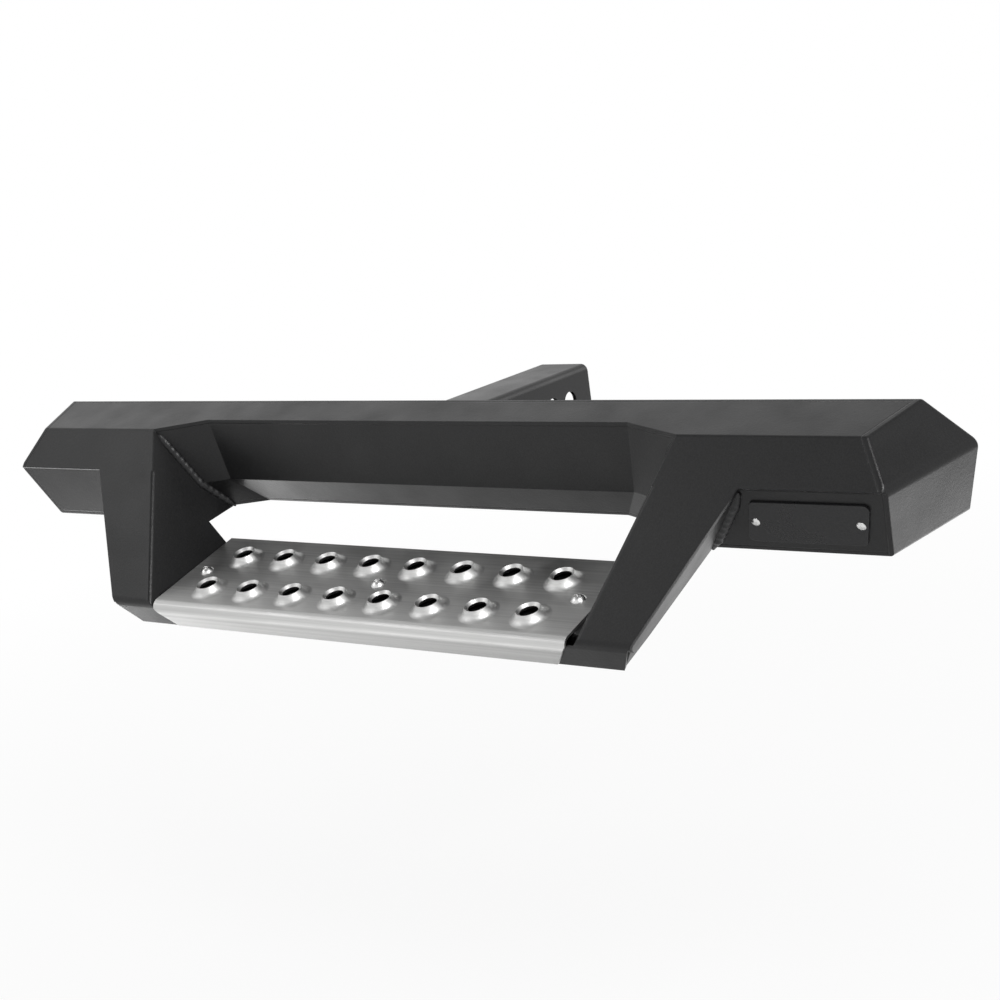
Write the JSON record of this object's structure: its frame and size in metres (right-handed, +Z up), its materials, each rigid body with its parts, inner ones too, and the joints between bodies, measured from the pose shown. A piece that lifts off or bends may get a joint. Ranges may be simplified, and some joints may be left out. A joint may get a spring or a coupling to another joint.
{
  "type": "hitch receiver step",
  "caption": "Black folded-steel bumper step for a trailer hitch receiver, with drop legs, a dimpled stainless tread and a square receiver tube.",
  "frame": {"origin": "middle of the inner hitch pin hole, on the receiver tube's centre line", "axes": "+X along the beam to the viewer's right, +Y along the receiver tube towards the vehicle, +Z up with the tube level"},
  "size_m": [0.8662, 0.3182, 0.156],
  "materials": {
    "black_coat": "fine-textured satin black powder coat",
    "stainless": "brushed stainless",
    "screw_steel": "bright stainless",
    "zinc": "zinc plated",
    "badge_black": "satin black plate",
    "rivet_metal": "plain aluminium"
  },
  "bodies": {
    "root": {"beam_shell": "black_coat", "centre_panel": "black_coat", "wing_lower_left": "black_coat", "wing_lower_right": "black_coat", "leg_side_left": "black_coat", "leg_side_right": "black_coat", "end_cap_left": "black_coat", "end_cap_right": "black_coat", "back_panel": "black_coat", "bottom_panel": "black_coat", "step_pan": "black_coat", "tread_plate": "stainless", "tread_screws": "screw_steel", "tread_washers": "zinc", "tread_nuts": "zinc", "receiver_tube": "black_coat", "badge_plate": "badge_black", "badge_rivets": "rivet_metal"}
  },
  "joints": []
}
